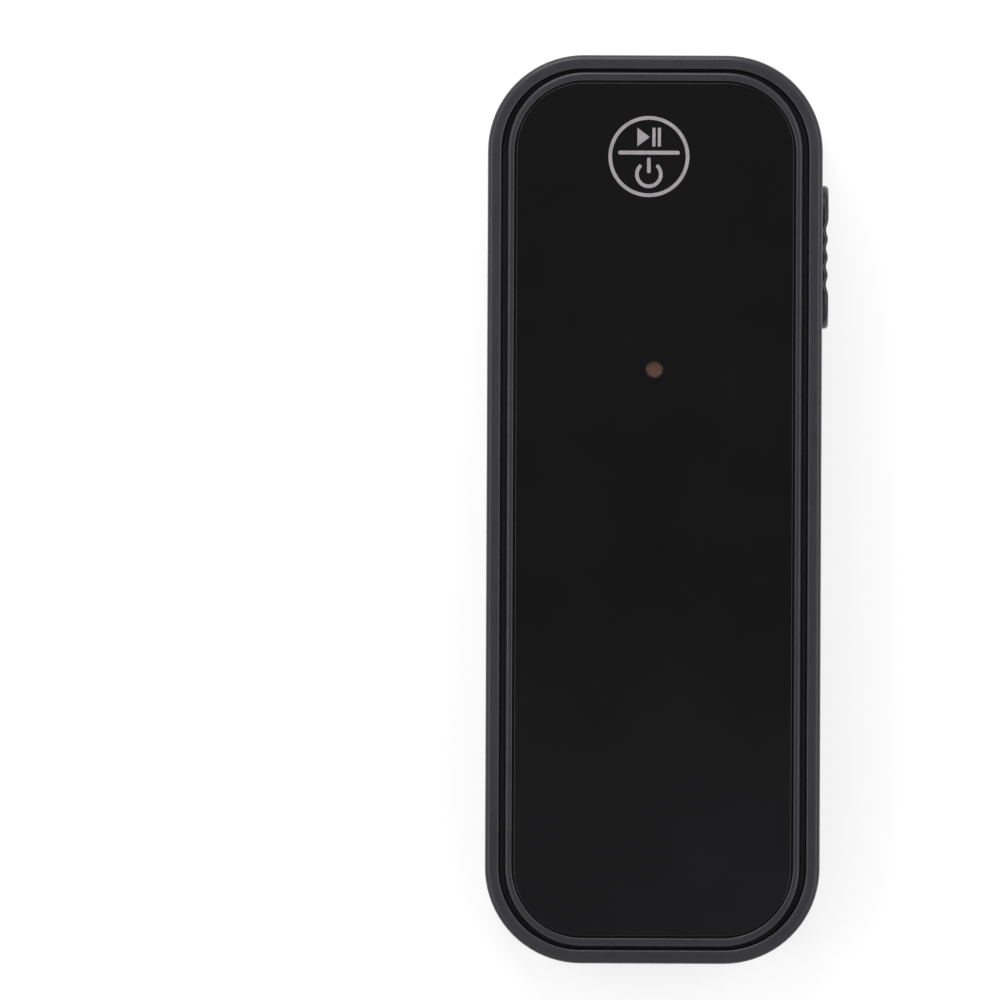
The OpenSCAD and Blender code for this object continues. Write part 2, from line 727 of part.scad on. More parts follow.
module usb_shell() color("#c4c4c2") {
    tab = [1, 1.4, usb_sheet];
    translate([0, usb_back, port_z]) against_end() difference() {
        linear_extrude(usb_l) stadium(usb_w, usb_h);
        translate([0, 0, -over]) linear_extrude(usb_l + 2 * over)
            stadium(usb_w - 2 * usb_sheet, usb_h - 2 * usb_sheet);
    }
    for (side = [-1, 1], y = [usb_back - tab.y, usb_back - 3 * tab.y])
        translate([side * (usb_w + tab.x - usb_sheet) / 2, y, port_z + tab.z / 2])
            cube(tab, center = true);
}

module usb_tongue() color("#161616") {
    plug_gap = 0.02;
    root_l = usb_l - tongue_l - tongue_setback;
    translate([0, usb_back, port_z]) against_end() {
        linear_extrude(root_l)
            stadium(usb_w - 2 * usb_sheet - 2 * plug_gap, usb_h - 2 * usb_sheet - 2 * plug_gap);
        translate([-tongue_w / 2, -tongue_t / 2, root_l - over])
            cube([tongue_w, tongue_t, tongue_l + over]);
    }
}

module usb_contacts() color("#d8b04a") {
    middle = usb_mouth + tongue_setback + usb_contact_setback + usb_contact.y / 2;
    for (side = [-1, 1], i = [0:usb_pins - 1])
        translate([
            (i - (usb_pins - 1) / 2) * usb_pitch, middle,
            port_z + side * (tongue_t + usb_contact.z) / 2,
        ]) cube(usb_contact, center = true);
}

// ---- Board and what stands on it ----

module main_board() color("#16523a") {
    notch_x = pivot_x - pivot_r - hub_wall - 2 * notch_gap;
    key_notch = [wall_x - notch_x, 2 * lip_half + 4 * notch_gap];
    translate([0, 0, board_z]) linear_extrude(board_t) difference() {
        translate([0, (board_end + board_start) / 2])
            rounded_rect(2 * (wall_x - board_gap), board_end - board_start, board_r);
        translate([-jack_w / 2 - notch_gap, jack_back - notch_gap]) square([jack_w + 2 * notch_gap, half_l]);
        translate([-usb_w / 2 - notch_gap, usb_back + notch_gap - half_l])
            square([usb_w + 2 * notch_gap, half_l]);
        translate([notch_x, key_y - key_notch.y / 2]) square(key_notch);
        for (place = screws) translate(place) circle(screw_r + notch_gap);
    }
}

module board_screws() color("#9a9a98") {
    recess = [0.35, screw_head_d * 0.6, screw_head_h / 2];
    for (place = screws) translate([place.x, place.y, board_top]) difference() {
        union() {
            cylinder(d = screw_head_d, h = screw_head_h);
            translate([0, 0, -screw_l]) cylinder(d = screw_d, h = screw_l + over);
        }
        for (turn = [0, 90]) rotate(turn)
            translate([-recess.x / 2, -recess.y / 2, screw_head_h - recess.z])
                cube([recess.x, recess.y, recess.z + over]);
    }
}

module bluetooth_chip() color("#1f1f21") on_board(radio_at, radio_size);

module charge_chip() color("#1f1f21") on_board(charger_at, charger_size);

module crystal() color("#c0c0bc") on_board(crystal_at, crystal_size);

module chip_antenna() color("#e8e4da") on_board(antenna_at, antenna_size);

module power_inductor() color("#4a4a4c") on_board(inductor_at, inductor_size);

module status_led() color("#f0efe6") on_board(led_at, led_size);

// Rows of capacitors beside the radio chip, the charging chip and the inductor
module chip_capacitors() color("#b58a5a") {
    pitch = 3 * capacitor_size.x;
    rows = [
        [radio_at.x, radio_at.y - radio_size.y / 2 - capacitor_size.y, 4],
        [charger_at.x, charger_at.y + charger_size.y / 2 + capacitor_size.y, 3],
        [charger_at.x, charger_at.y - charger_size.y / 2 - capacitor_size.y, 3],
        [inductor_at.x, inductor_at.y - inductor_size.y / 2 - capacitor_size.y, 3],
    ];
    for (row = rows, i = [0:row[2] - 1])
        on_board([row.x + (i - (row[2] - 1) / 2) * pitch, row.y], capacitor_size);
}

// ---- Touch key ----

// Outline of the electrode and its tail to the contact spring, moved out by a margin
module touch_outline(margin) {
    tail = spring_d + 2 * margin;
    translate([touch_x, touch_y]) circle(d = touch_d + 2 * margin);
    translate([spring_at.x, touch_y - tail / 2]) square([touch_x - spring_at.x, tail]);
    translate(spring_at) circle(d = tail + tail_round);
}

// Copper foil, let into the underside of the cover
module touch_electrode() color("#b06a3a") {
    translate([0, 0, cover_z]) linear_extrude(touch_t) touch_outline(0);
}

module touch_spring() color("#d0b070") {
    wire_r = spring_wire / 2;
    coil_r = spring_d / 2 - wire_r;
    end_gap = 0.02;
    foot = board_top + wire_r + end_gap;
    rise = cover_z - wire_r - end_gap - foot;
    steps = 16 * spring_turns;
    tube([for (i = [0:steps])
        let (turn = 360 * spring_turns * i / steps, centre = [
            spring_at.x + coil_r * cos(turn), spring_at.y + coil_r * sin(turn), foot + rise * i / steps,
        ])
        tube_ring(centre, [-sin(turn), cos(turn), 0], [0, 0, 1], wire_r, 8)]);
}

// ---- Microphone ----

module mic_capsule() color("#c7b489") on_board([0, mic_y], mic_size);

// Rubber tube that leads the sound from the cover to the capsule
module mic_boot() color("#242424") {
    foot = board_top + mic_size.z;
    translate([0, mic_y, foot]) difference() {
        cylinder(d = boot_d, h = cover_z - foot);
        translate([0, 0, -over]) cylinder(d = mic_channel_d, h = cover_z - foot + 2 * over);
    }
}

module mic_mesh() color("#6b4a3a") {
    translate([0, mic_y, adhesive_z]) cylinder(d = mesh_d, h = mesh_t);
}

// ---- Battery ----

module battery_cell() color("#b9bcc0") {
    translate([0, cell_y1, cell_z + cell_t / 2]) against_end()
        linear_extrude(cell_l) rounded_rect(cell_w, cell_t, cell_edge_r);
}

module battery_tape() color("#e9e6de") {
    width = cell_w - 4 * cell_edge_r;
    translate([-width / 2, cell_y0 + cell_gap, back_wall]) cube([width, cell_l - 2 * cell_gap, tape_t]);
}

module battery_guard_board() color("#1d6b4b") {
    translate([-guard_w / 2, guard_y, cell_z + guard_gap]) cube([guard_w, guard_t, guard_h]);
}

// Lead from the guard board, curving up to the underside of the main board
module battery_lead(side) {
    bow = 1.8;
    start = [side * 2 * lead_d, guard_y, cell_z + cell_t / 2];
    end = [side * 4 * lead_d, guard_y - bow, board_z];
    route = [start, start - [0, bow, 0], end - [0, 0, bow], end];
    steps = 10;
    tube([for (i = [0:steps]) let (t = i / steps)
        tube_ring(curve_point(route, t), curve_direction(route, t), [1, 0, 0], lead_d / 2, 8)]);
}

back_shell();
front_cover();
panel_adhesive();
front_panel();
volume_rocker();
switch_housing(1);  // switch_housing_up
switch_housing(-1);  // switch_housing_down
switch_cover(1);  // switch_cover_up
switch_cover(-1);  // switch_cover_down
switch_dome(1);  // switch_dome_up
switch_dome(-1);  // switch_dome_down
switch_stem(1);  // switch_stem_up
switch_stem(-1);  // switch_stem_down
jack_housing();
jack_ferrule();
jack_contact(contact_tip);  // jack_contact_tip
jack_contact(contact_ring);  // jack_contact_ring
jack_contact(contact_sleeve);  // jack_contact_sleeve
usb_shell();
usb_tongue();
usb_contacts();
main_board();
bluetooth_chip();
charge_chip();
crystal();
chip_antenna();
chip_capacitors();
power_inductor();
status_led();
touch_electrode();
touch_spring();
mic_capsule();
mic_boot();
mic_mesh();
battery_cell();
battery_tape();
battery_guard_board();
color("#b3261e") battery_lead(-1);  // battery_lead_red
color("#202020") battery_lead(1);  // battery_lead_black
board_screws();
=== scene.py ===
# %% [markdown]
# # Bluetooth audio receiver
# A slim moulded case with a gloss touch panel in its front, a volume key on its side, a
# 3.5 mm jack at one end and a USB-C socket at the other. The construction comes as a fixed
# frame of exact solids. This lesson dresses it: the pieces that can be seen are modelled
# again with their small radii and rolled lips, and every piece gets a finish of its own.
# The frame's boxes give all places, so nothing here is fitted by eye.

# %% Load the frame
import bmesh
import bpy
import json
import math
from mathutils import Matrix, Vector


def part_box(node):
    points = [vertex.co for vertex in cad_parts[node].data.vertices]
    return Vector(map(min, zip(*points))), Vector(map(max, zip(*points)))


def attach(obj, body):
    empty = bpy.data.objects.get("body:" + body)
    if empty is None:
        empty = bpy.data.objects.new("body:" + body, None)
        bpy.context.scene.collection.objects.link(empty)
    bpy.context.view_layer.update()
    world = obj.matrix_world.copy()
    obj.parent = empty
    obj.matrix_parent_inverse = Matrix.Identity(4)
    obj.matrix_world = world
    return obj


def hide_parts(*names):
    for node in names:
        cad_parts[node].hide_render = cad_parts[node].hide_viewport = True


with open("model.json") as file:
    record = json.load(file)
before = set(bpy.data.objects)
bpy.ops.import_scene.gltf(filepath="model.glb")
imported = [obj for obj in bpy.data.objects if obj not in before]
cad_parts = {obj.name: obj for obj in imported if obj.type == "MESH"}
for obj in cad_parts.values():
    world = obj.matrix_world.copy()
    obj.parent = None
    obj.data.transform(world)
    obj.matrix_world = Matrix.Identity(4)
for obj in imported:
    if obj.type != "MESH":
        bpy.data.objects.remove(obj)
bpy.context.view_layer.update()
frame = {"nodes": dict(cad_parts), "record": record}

# %% [markdown]
# ## Sizes
# The outside of every piece is read from the frame. Only what a box can't tell is written
# here in millimetres: corner radii, wall thicknesses and the small roundings that a mould
# leaves on each edge. One unit of the scene is a metre, so each number is multiplied by MM.

# %% Sizes that a box can't tell
MM = 0.001
TINY = 0.01 * MM

corner_r = 7.4 * MM
back_edge_r = 2.0 * MM
rim_outer_r = 0.42 * MM
rim_inner_r = 0.12 * MM
rim_w = 1.05 * MM
side_wall = 1.6 * MM
back_wall = 1.3 * MM
bezel_side = 0.5 * MM
bezel_end = 0.66 * MM
panel_gap = 0.16 * MM

case_low, case_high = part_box("back_shell")
cover_low, cover_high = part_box("front_cover")
panel_low, panel_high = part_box("front_panel")
key_low, key_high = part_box("volume_rocker")
board_low, board_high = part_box("main_board")
port_z = board_high.z
print("case:", [round(v / MM, 2) for v in case_high - case_low], "mm")

# %% [markdown]
# ## Tools of the bench
# Every piece starts as a primitive at its own size and place, and is then worked in edit
# mode. An operator acts on whatever is selected, so each step first lets go of everything
# and then picks faces or edges by where they lie or which way they point.

# %% Blocks, and picking by place
def let_go():
    """Leaves edit mode and selects nothing"""
    if bpy.context.object and bpy.context.object.mode != "OBJECT":
        bpy.ops.object.mode_set(mode="OBJECT")
    bpy.ops.object.select_all(action="DESELECT")


def open_piece(piece):
    """Makes a piece the active one and opens it in edit mode"""
    let_go()
    bpy.context.view_layer.objects.active = piece
    piece.select_set(True)
    bpy.ops.object.mode_set(mode="EDIT")


def pick(piece, kind, test):
    """Selects the faces or edges of an open piece that pass a test"""
    bpy.ops.mesh.select_mode(type=kind)
    bpy.ops.mesh.select_all(action="DESELECT")
    mesh = bmesh.from_edit_mesh(piece.data)
    found = [part for part in (mesh.faces if kind == "FACE" else mesh.edges) if test(part)]
    for part in found:
        part.select_set(True)
    bmesh.update_edit_mesh(piece.data)
    return len(found)


def block(name, low, high):
    """A cuboid between two corners"""
    let_go()
    low, high = Vector(low), Vector(high)
    bpy.ops.mesh.primitive_cube_add(size=1, location=(low + high) / 2)
    piece = bpy.context.object
    piece.scale = high - low
    bpy.ops.object.transform_apply(location=True, rotation=True, scale=True)
    piece.name = name
    return piece


def rod(name, radius, start, end, sides=64):
    """A cylinder from one point to another, along X, Y or Z"""
    let_go()
    start, end = Vector(start), Vector(end)
    turn = (end - start).to_track_quat("Z", "Y").to_euler()
    bpy.ops.mesh.primitive_cylinder_add(
        vertices=sides, radius=radius, depth=(end - start).length, location=(start + end) / 2, rotation=turn)
    bpy.ops.object.transform_apply(location=True, rotation=True, scale=True)
    piece = bpy.context.object
    piece.name = name
    return piece


def along(axis):
    """A test for the edges that run along an axis"""
    def test(edge):
        step = edge.verts[1].co - edge.verts[0].co
        return abs(step[axis]) > 0.99 * step.length
    return test


def at_level(axis, level):
    """A test for what lies wholly at one level of an axis"""
    return lambda part: all(abs(v.co[axis] - level) < TINY for v in part.verts)


def round_edges(piece, radius, segments, test):
    """Rounds the corners of a piece whose edges pass a test"""
    def corner(edge):
        return test(edge) and edge.calc_face_angle(0) > math.radians(10)

    open_piece(piece)
    count = pick(piece, "EDGE", corner)
    bpy.ops.mesh.bevel(offset=radius, segments=segments, affect="EDGES", profile=0.5, clamp_overlap=False)
    bpy.ops.mesh.select_all(action="SELECT")
    bpy.ops.mesh.remove_doubles(threshold=TINY / 10)
    let_go()
    return count


def slab(name, low, high, radius, axis=2, segments=16):
    """A cuboid whose four edges along one axis are rounded"""
    piece = block(name, low, high)
    round_edges(piece, radius, segments, along(axis))
    return piece


def cut(piece, cutter, how="DIFFERENCE"):
    """Takes a cutter's shape away from a piece, or joins it on"""
    let_go()
    bpy.context.view_layer.objects.active = piece
    step = piece.modifiers.new("cut", "BOOLEAN")
    step.object = cutter
    step.operation = how
    step.solver = "EXACT"
    bpy.ops.object.modifier_apply(modifier=step.name)
    bpy.data.objects.remove(cutter, do_unlink=True)


def join(piece, others):
    """Puts several shapes into one piece"""
    let_go()
    for part in [*others, piece]:
        part.select_set(True)
    bpy.context.view_layer.objects.active = piece
    bpy.ops.object.join()


def tag_wear_and_highlight_edges(piece):
    """Writes on each face how tightly it bends outwards to its neighbours, in turns to the millimetre; the finishes
    lighten these edges, partly as wear and partly as a painted highlight
    """
    shape = bmesh.new()
    shape.from_mesh(piece.data)
    bends = []
    for face in shape.faces:
        bend = 0.0
        for edge in face.edges:
            if len(edge.link_faces) == 2 and edge.is_convex:
                apart = edge.link_faces[0].calc_center_median() - edge.link_faces[1].calc_center_median()
                bend = max(bend, edge.calc_face_angle(0) * MM / max(apart.length, TINY))
        bends.append(min(1.0, max(0.0, (bend - 2.6) / 3)))
    shape.free()
    layer = piece.data.attributes.new("wear_and_highlight", "FLOAT", "FACE")
    layer.data.foreach_set("value", bends)


def smooth(piece, degrees=32):
    """Shades a piece smoothly, with flat faces kept flat up to their rounded edges"""
    tag_wear_and_highlight_edges(piece)
    let_go()
    bpy.context.view_layer.objects.active = piece
    piece.select_set(True)
    bpy.ops.object.shade_smooth_by_angle(angle=math.radians(degrees))
    step = piece.modifiers.new("flat_faces", "WEIGHTED_NORMAL")
    step.keep_sharp = True
    bpy.ops.object.modifier_apply(modifier=step.name)
    print(piece.name, len(piece.data.polygons), "faces")


# %% [markdown]
# ## Back shell
# The real shell is one moulded tub: a round-cornered box, hollowed from the front, with a
# rim that stands round the cover. A block with its upright edges rounded gives the outline.
# Insetting the top face and pressing it down makes the rim, the ledge for the cover and the
# room inside, and keeps every corner concentric.

# %% Model the tub
def press_down(piece, level, margin, depth):
    """Insets the upward face at a level by a margin and presses it down"""
    open_piece(piece)
    count = pick(piece, "FACE", lambda f: f.normal.z > 0.99 and at_level(2, level)(f))
    bpy.ops.mesh.inset(thickness=margin, use_even_offset=True)
    bpy.ops.mesh.extrude_region_move(TRANSFORM_OT_translate={"value": (0, 0, -depth)})
    let_go()
    return count


ledge_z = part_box("panel_adhesive")[0].z - 1.0 * MM
shell = slab("case_back_shell", case_low, case_high, corner_r, segments=20)
round_edges(shell, back_edge_r, 8, at_level(2, case_low.z))
press_down(shell, case_high.z, rim_w, case_high.z - ledge_z)
press_down(shell, ledge_z, side_wall - rim_w, ledge_z - back_wall)
print("tub:", len(shell.data.polygons), "faces")

# %% [markdown]
# The sockets and the key pass through the walls. Each opening is cut with the shape of what
# passes through it plus its clearance, and its mouth gets a small rounding, because a sharp
# edge would show no line of light.

# %% Cut the openings and soften their mouths
ferrule_low, ferrule_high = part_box("jack_ferrule")
usb_low, usb_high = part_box("usb_shell")
ferrule_r = 2.6 * MM
usb_size = Vector((8.94 * MM, 0, 3.26 * MM))
usb_mouth_y = usb_low.y
key_size = Vector((0, 11.05 * MM, 4.4 * MM))
key_y = (key_low.y + key_high.y) / 2
key_face_x = key_high.x
jack_gap = 0.1 * MM
usb_gap = 0.2 * MM
key_gap = 0.25 * MM
wall_reach = 2 * MM

jack_hole_r = ferrule_r + jack_gap
cut(shell, rod("jack_cutter", jack_hole_r,
               (0, case_high.y - wall_reach, port_z), (0, case_high.y + wall_reach, port_z)))

usb_half = usb_size / 2 + Vector((usb_gap, wall_reach, usb_gap))
usb_middle = Vector((0, case_low.y, port_z))
cut(shell, slab("usb_cutter", usb_middle - usb_half, usb_middle + usb_half,
                0.999 * usb_half.z, axis=1, segments=16))

key_half = key_size / 2 + Vector((wall_reach, key_gap, key_gap))
key_middle = Vector((case_high.x, key_y, port_z))
cut(shell, slab("key_cutter", key_middle - key_half, key_middle + key_half,
                0.999 * key_half.z, axis=0, segments=16))


def mouth(axis, level, middle, reach):
    """A test for the edges of an opening in the flat face at one level of an axis"""
    def test(edge):
        inside = all((v.co - middle).length < reach for v in edge.verts)
        walls = [f for f in edge.link_faces if abs(f.normal[axis]) < 0.1]
        return at_level(axis, level)(edge) and inside and len(walls) == 1
    return test


round_edges(shell, 0.15 * MM, 3, mouth(1, case_high.y, Vector((0, case_high.y, port_z)), 3 * MM))
round_edges(shell, 0.2 * MM, 3, mouth(1, case_low.y, usb_middle, 5.2 * MM))
round_edges(shell, 0.15 * MM, 3, mouth(0, case_high.x, key_middle, 6.4 * MM))


def rim_edge(side):
    """A test for the rim's outer edge, side 1, or its inner one, side -1"""
    def test(edge):
        walls = [f for f in edge.link_faces if abs(f.normal.z) < 0.1]
        facing = [f.normal.dot(f.calc_center_median()) * side for f in walls]
        return at_level(2, case_high.z)(edge) and len(facing) == 1 and facing[0] > 0
    return test


print("rim edges:", round_edges(shell, rim_outer_r, 6, rim_edge(1)), "outside,",
      round_edges(shell, rim_inner_r, 3, rim_edge(-1)), "inside")

# %% [markdown]
# Inside stand the bosses for the three screws and the one that carries the lower pin of the
# volume key. They are plain tubes on the floor, so a rod with a hole is enough.

# %% Add the bosses
def boss(name, place, foot, top, radius, hole_r, hole_depth):
    """A round post on the floor with a blind hole in its top"""
    post = rod(name, radius, (*place, foot - 0.2 * MM), (*place, top), 48)
    cut(post, rod("boss_hole", hole_r, (*place, top - hole_depth), (*place, top + MM), 32))
    return post


screw_low, screw_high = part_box("board_screws")
screw_head_r = 1.3 * MM
screw_x = screw_high.x - screw_head_r
screw_places = [
    (-screw_x, screw_high.y - screw_head_r),
    (-screw_x, screw_low.y + screw_head_r),
    (screw_x, screw_low.y + screw_head_r),
]
pivot = Vector(frame["record"]["behaviour"]["joints"][0]["pos_m"])
posts = [boss("screw_boss", place, back_wall, board_low.z, 1.6 * MM, 0.72 * MM, 2.6 * MM)
         for place in screw_places]
posts.append(boss("pivot_boss", (pivot.x, pivot.y), back_wall, port_z - 2.3 * MM, 1.15 * MM, 0.65 * MM, 1.2 * MM))
join(shell, posts)
smooth(shell)
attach(shell, "case")
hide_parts("back_shell")

# %% [markdown]
# ## Front cover
# The cover fills the rim. Its flange lies deep, which leaves the narrow groove that runs
# round the front, and its bezel stands up again as a thin frame round the panel. The groove
# is wider at the sides than at the ends, so the raised part is narrowed after its inset.

# %% Model the cover
groove_z = case_high.z - 1.4 * MM
bezel_slant = 0.1 * MM
recess_high = panel_high + Vector((panel_gap, panel_gap, 0))
bezel_high = Vector((recess_high.x + bezel_side, recess_high.y + bezel_end, cover_high.z))
flange_r = corner_r - rim_w - 0.1 * MM
end_step = cover_high.y - bezel_high.y - bezel_slant

cover = slab("case_front_cover", (cover_low.x, cover_low.y, ledge_z),
             (cover_high.x, cover_high.y, groove_z), flange_r, segments=20)
open_piece(cover)
pick(cover, "FACE", lambda f: f.normal.z > 0.99)
bpy.ops.mesh.inset(thickness=end_step, use_even_offset=True)
narrower = (bezel_high.x + bezel_slant) / (cover_high.x - end_step)
bpy.ops.transform.resize(value=(narrower, 1, 1))
bpy.ops.mesh.inset(thickness=bezel_slant, depth=cover_high.z - groove_z, use_even_offset=True)
let_go()
print("groove at the sides:", round((case_high.x - rim_w - bezel_high.x) / MM, 2), "mm")

recess_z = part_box("panel_adhesive")[0].z
open_piece(cover)
pick(cover, "FACE", lambda f: f.normal.z > 0.99 and at_level(2, cover_high.z)(f))
bpy.ops.mesh.inset(thickness=bezel_side, use_even_offset=True)
bpy.ops.transform.resize(value=(1, recess_high.y / (bezel_high.y - bezel_side), 1))
bpy.ops.mesh.extrude_region_move(TRANSFORM_OT_translate={"value": (0, 0, recess_z - cover_high.z)})
let_go()


def bezel_edge(side):
    """A test for the bezel's outer edge, side 1, or its inner one, side -1"""
    def test(edge):
        walls = [f for f in edge.link_faces if f.normal.z < 0.5]
        facing = [f.normal.dot(f.calc_center_median()) * side for f in walls]
        return at_level(2, cover_high.z)(edge) and len(facing) == 1 and facing[0] > 0
    return test


print("bezel edges:", round_edges(cover, 0.2 * MM, 4, bezel_edge(1)), "outside,",
      round_edges(cover, 0.1 * MM, 3, bezel_edge(-1)), "inside")

# %% [markdown]
# Under the cover hang the snap hooks that hold it in the shell, and the boss for the key's
# upper pin. A hook is a small block whose lower edge is drawn out into a wedge.

# %% Add the hooks and the pivot boss
hook_w = 2.8 * MM
hook_t = 0.7 * MM
hook_l = ledge_z - cover_low.z
hook_nose = 0.65 * MM
hook_x = case_high.x - side_wall - 0.25 * MM - hook_t
hook_first = corner_r + hook_w - case_high.y
hook_last = key_y - (key_high.y - key_low.y) / 2 - hook_w


def hook(side, y):
    """A straight arm with a wedge at its foot that points at the side wall"""
    near, far = sorted((side * hook_x, side * (hook_x + hook_t)))
    arm = block("hook", (near, y - hook_w / 2, ledge_z - hook_l), (far, y + hook_w / 2, ledge_z + 0.2 * MM))
    open_piece(arm)
    bpy.ops.mesh.select_all(action="SELECT")
    bpy.ops.mesh.bisect(plane_co=(0, 0, ledge_z - hook_l + 0.9 * MM), plane_no=(0, 0, 1))
    pick(arm, "FACE", lambda f: f.normal.x * side > 0.9 and f.calc_center_median().z < ledge_z - hook_l / 2 - 0.1 * MM)
    bpy.ops.mesh.extrude_region_move()
    mesh = bmesh.from_edit_mesh(arm.data)
    top = max(v.co.z for v in mesh.verts if v.select)
    for v in mesh.verts:
        if v.select and v.co.z > top - TINY:
            v.co.x += side * hook_nose
    bmesh.update_edit_mesh(arm.data)
    bpy.ops.mesh.select_all(action="SELECT")
    bpy.ops.mesh.remove_doubles(threshold=TINY / 10)
    bpy.ops.mesh.normals_make_consistent(inside=False)
    let_go()
    return arm


hooks = [hook(side, hook_first + i * (hook_last - hook_first) / 2) for side in (-1, 1) for i in range(3)]
upper_boss = rod("upper_boss", 1.15 * MM, (pivot.x, pivot.y, port_z + 2.3 * MM), (pivot.x, pivot.y, ledge_z + 0.2 * MM), 48)
cut(upper_boss, rod("boss_hole", 0.65 * MM, (pivot.x, pivot.y, port_z), (pivot.x, pivot.y, port_z + 3.4 * MM), 32))

mesh_low, mesh_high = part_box("mic_mesh")
mic_y = (mesh_low.y + mesh_high.y) / 2
led_low, led_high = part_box("status_led")
led_y = (led_low.y + led_high.y) / 2
cut(cover, rod("mic_channel", 0.5 * MM, (0, mic_y, 0), (0, mic_y, case_high.z), 32))
cut(cover, rod("led_channel", 0.6 * MM, (0, led_y, 0), (0, led_y, case_high.z), 32))
join(cover, [*hooks, upper_boss])
smooth(cover)
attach(cover, "case")
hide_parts("front_cover")

# %% [markdown]
# ## Front panel
# The panel is a sheet of black acrylic, cut with a fine polished edge. The microphone hole
# is drilled through it and countersunk, which gives the hole its thin bright ring.

# %% Model the panel
panel_r = corner_r - (case_high.x - panel_high.x)
mic_hole_r = 0.56 * MM
panel = slab("front_panel_sheet", panel_low, panel_high, panel_r, segments=20)
round_edges(panel, 0.07 * MM, 2, at_level(2, panel_high.z))
cut(panel, rod("mic_drill", mic_hole_r, (0, mic_y, 0), (0, mic_y, case_high.z), 48))
mic_middle = Vector((0, mic_y, panel_high.z))
round_edges(panel, 0.13 * MM, 2, mouth(2, panel_high.z, mic_middle, 0.7 * MM))
smooth(panel)
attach(panel, "case")
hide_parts("front_panel")

# %% [markdown]
# ## Touch symbol
# The touch key is only a print on the panel: a ring, a bar across it, the power symbol below
# the bar and a play and pause sign above it. Each stroke is a flat shape with a hair of
# thickness, laid on the panel, because an image would blur when it is seen from near.

# %% Print the symbol
ink_z = panel_high.z
ink_t = 0.012 * MM
ink_low, ink_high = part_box("touch_electrode")
ring_r = 3.12 * MM
ring_stroke = 0.28 * MM
symbol = Vector((ink_high.x - 3.2 * MM, (ink_low.y + ink_high.y) / 2, ink_z))


def stroke(name, middle, width, length, round_r):
    """A flat bar with rounded ends, its middle counted from the ring's centre"""
    half = Vector((width / 2, length / 2, 0))
    low = symbol + Vector((*middle, 0)) - half
    high = symbol + Vector((*middle, ink_t)) + half
    return slab(name, low, high, round_r, segments=6)


def ink_ring():
    """A flat ring: a disc, inset and opened"""
    disc = rod("ink_ring", ring_r, symbol, symbol + Vector((0, 0, ink_t)), 128)
    open_piece(disc)
    pick(disc, "FACE", lambda f: abs(f.normal.z) > 0.99)
    bpy.ops.mesh.inset(thickness=ring_stroke, use_even_offset=True)
    bpy.ops.mesh.bridge_edge_loops()
    let_go()
    return disc


def is_end(face):
    """True for the small face that closes an arc, whose sides are its height and its width"""
    return abs(face.normal.z) < 0.1 and max(e.calc_length() for e in face.edges) > 0.2 * MM


def power_arc(drop, radius, width, gap):
    """The open ring of the power symbol: a small upright face, spun round the ring's centre"""
    centre = symbol + Vector((0, drop, 0))
    start = math.radians(90 - gap)
    spot = centre + radius * Vector((math.cos(start), math.sin(start), 0))
    let_go()
    bpy.ops.mesh.primitive_plane_add(size=1, location=spot + Vector((0, 0, ink_t / 2)),
                                     rotation=(math.radians(90), 0, start))
    arc = bpy.context.object
    arc.scale = (width, ink_t, 1)
    bpy.ops.object.transform_apply(location=True, rotation=True, scale=True)
    arc.name = "power_arc"
    open_piece(arc)
    bpy.ops.mesh.select_all(action="SELECT")
    bpy.ops.mesh.spin(steps=48, angle=math.radians(360 - 2 * gap), center=centre, axis=(0, 0, 1))
    bpy.ops.mesh.select_all(action="SELECT")
    bpy.ops.mesh.remove_doubles(threshold=TINY / 10)
    bpy.ops.mesh.normals_make_consistent(inside=False)
    let_go()
    round_edges(arc, 0.48 * width, 6, lambda e: along(2)(e) and any(is_end(f) for f in e.link_faces))
    return arc


def play_sign(middle, width, height):
    """A triangle that points to +X"""
    centre = symbol + Vector((*middle, 0))
    sign = rod("play_sign", height / 2, centre, centre + Vector((0, 0, ink_t)), 3)
    open_piece(sign)
    mesh = bmesh.from_edit_mesh(sign.data)
    corners = [(-width / 2, -height / 2), (width / 2, 0), (-width / 2, height / 2)]
    for level in (ink_z, ink_z + ink_t):
        ring = [v for v in mesh.verts if abs(v.co.z - level) < TINY / 4]
        ring.sort(key=lambda v: math.atan2(v.co.y - centre.y, v.co.x - centre.x))
        for v, corner in zip(ring, corners):
            v.co.x, v.co.y = centre.x + corner[0], centre.y + corner[1]
    bmesh.update_edit_mesh(sign.data)
    bpy.ops.mesh.select_all(action="SELECT")
    bpy.ops.mesh.normals_make_consistent(inside=False)
    let_go()
    return sign


ink = ink_ring()
ink.name = "touch_symbol"
join(ink, [
    stroke("bar", (0, 0.3 * MM), 4.74 * MM, 0.3 * MM, 0.14 * MM),
    stroke("power_stem", (0, -0.68 * MM), 0.28 * MM, 1.2 * MM, 0.13 * MM),
    power_arc(-1.37 * MM, 0.92 * MM, 0.28 * MM, 40),
    play_sign((-0.42 * MM, 1.5 * MM), 0.95 * MM, 1.45 * MM),
    stroke("pause_left", (0.38 * MM, 1.5 * MM), 0.24 * MM, 1.45 * MM, 0.04 * MM),
    stroke("pause_right", (0.8 * MM, 1.5 * MM), 0.24 * MM, 1.45 * MM, 0.04 * MM),
])
smooth(ink)
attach(ink, "case")

# %% [markdown]
# ## Volume key
# The key is a pill with a soft outer edge. Four shallow grooves across its middle give a finger its grip. Lines across
# its face are pushed in and rounded together with the lines between them, so that the grooves and the ribs between
# them come out as smooth waves. The lip, the hub with its pins and the pressing ribs sit inside the case and are
# joined on.

# %% Model the key
groove_pitch = 1.4 * MM
groove_depth = 0.23 * MM
groove_places = [key_y + (i - 1.5) * groove_pitch for i in range(4)]
ridge_places = [key_y + (i - 2) * groove_pitch for i in range(5)]
lip_x = pivot.x + 0.41 * MM
lip_t = 0.5 * MM

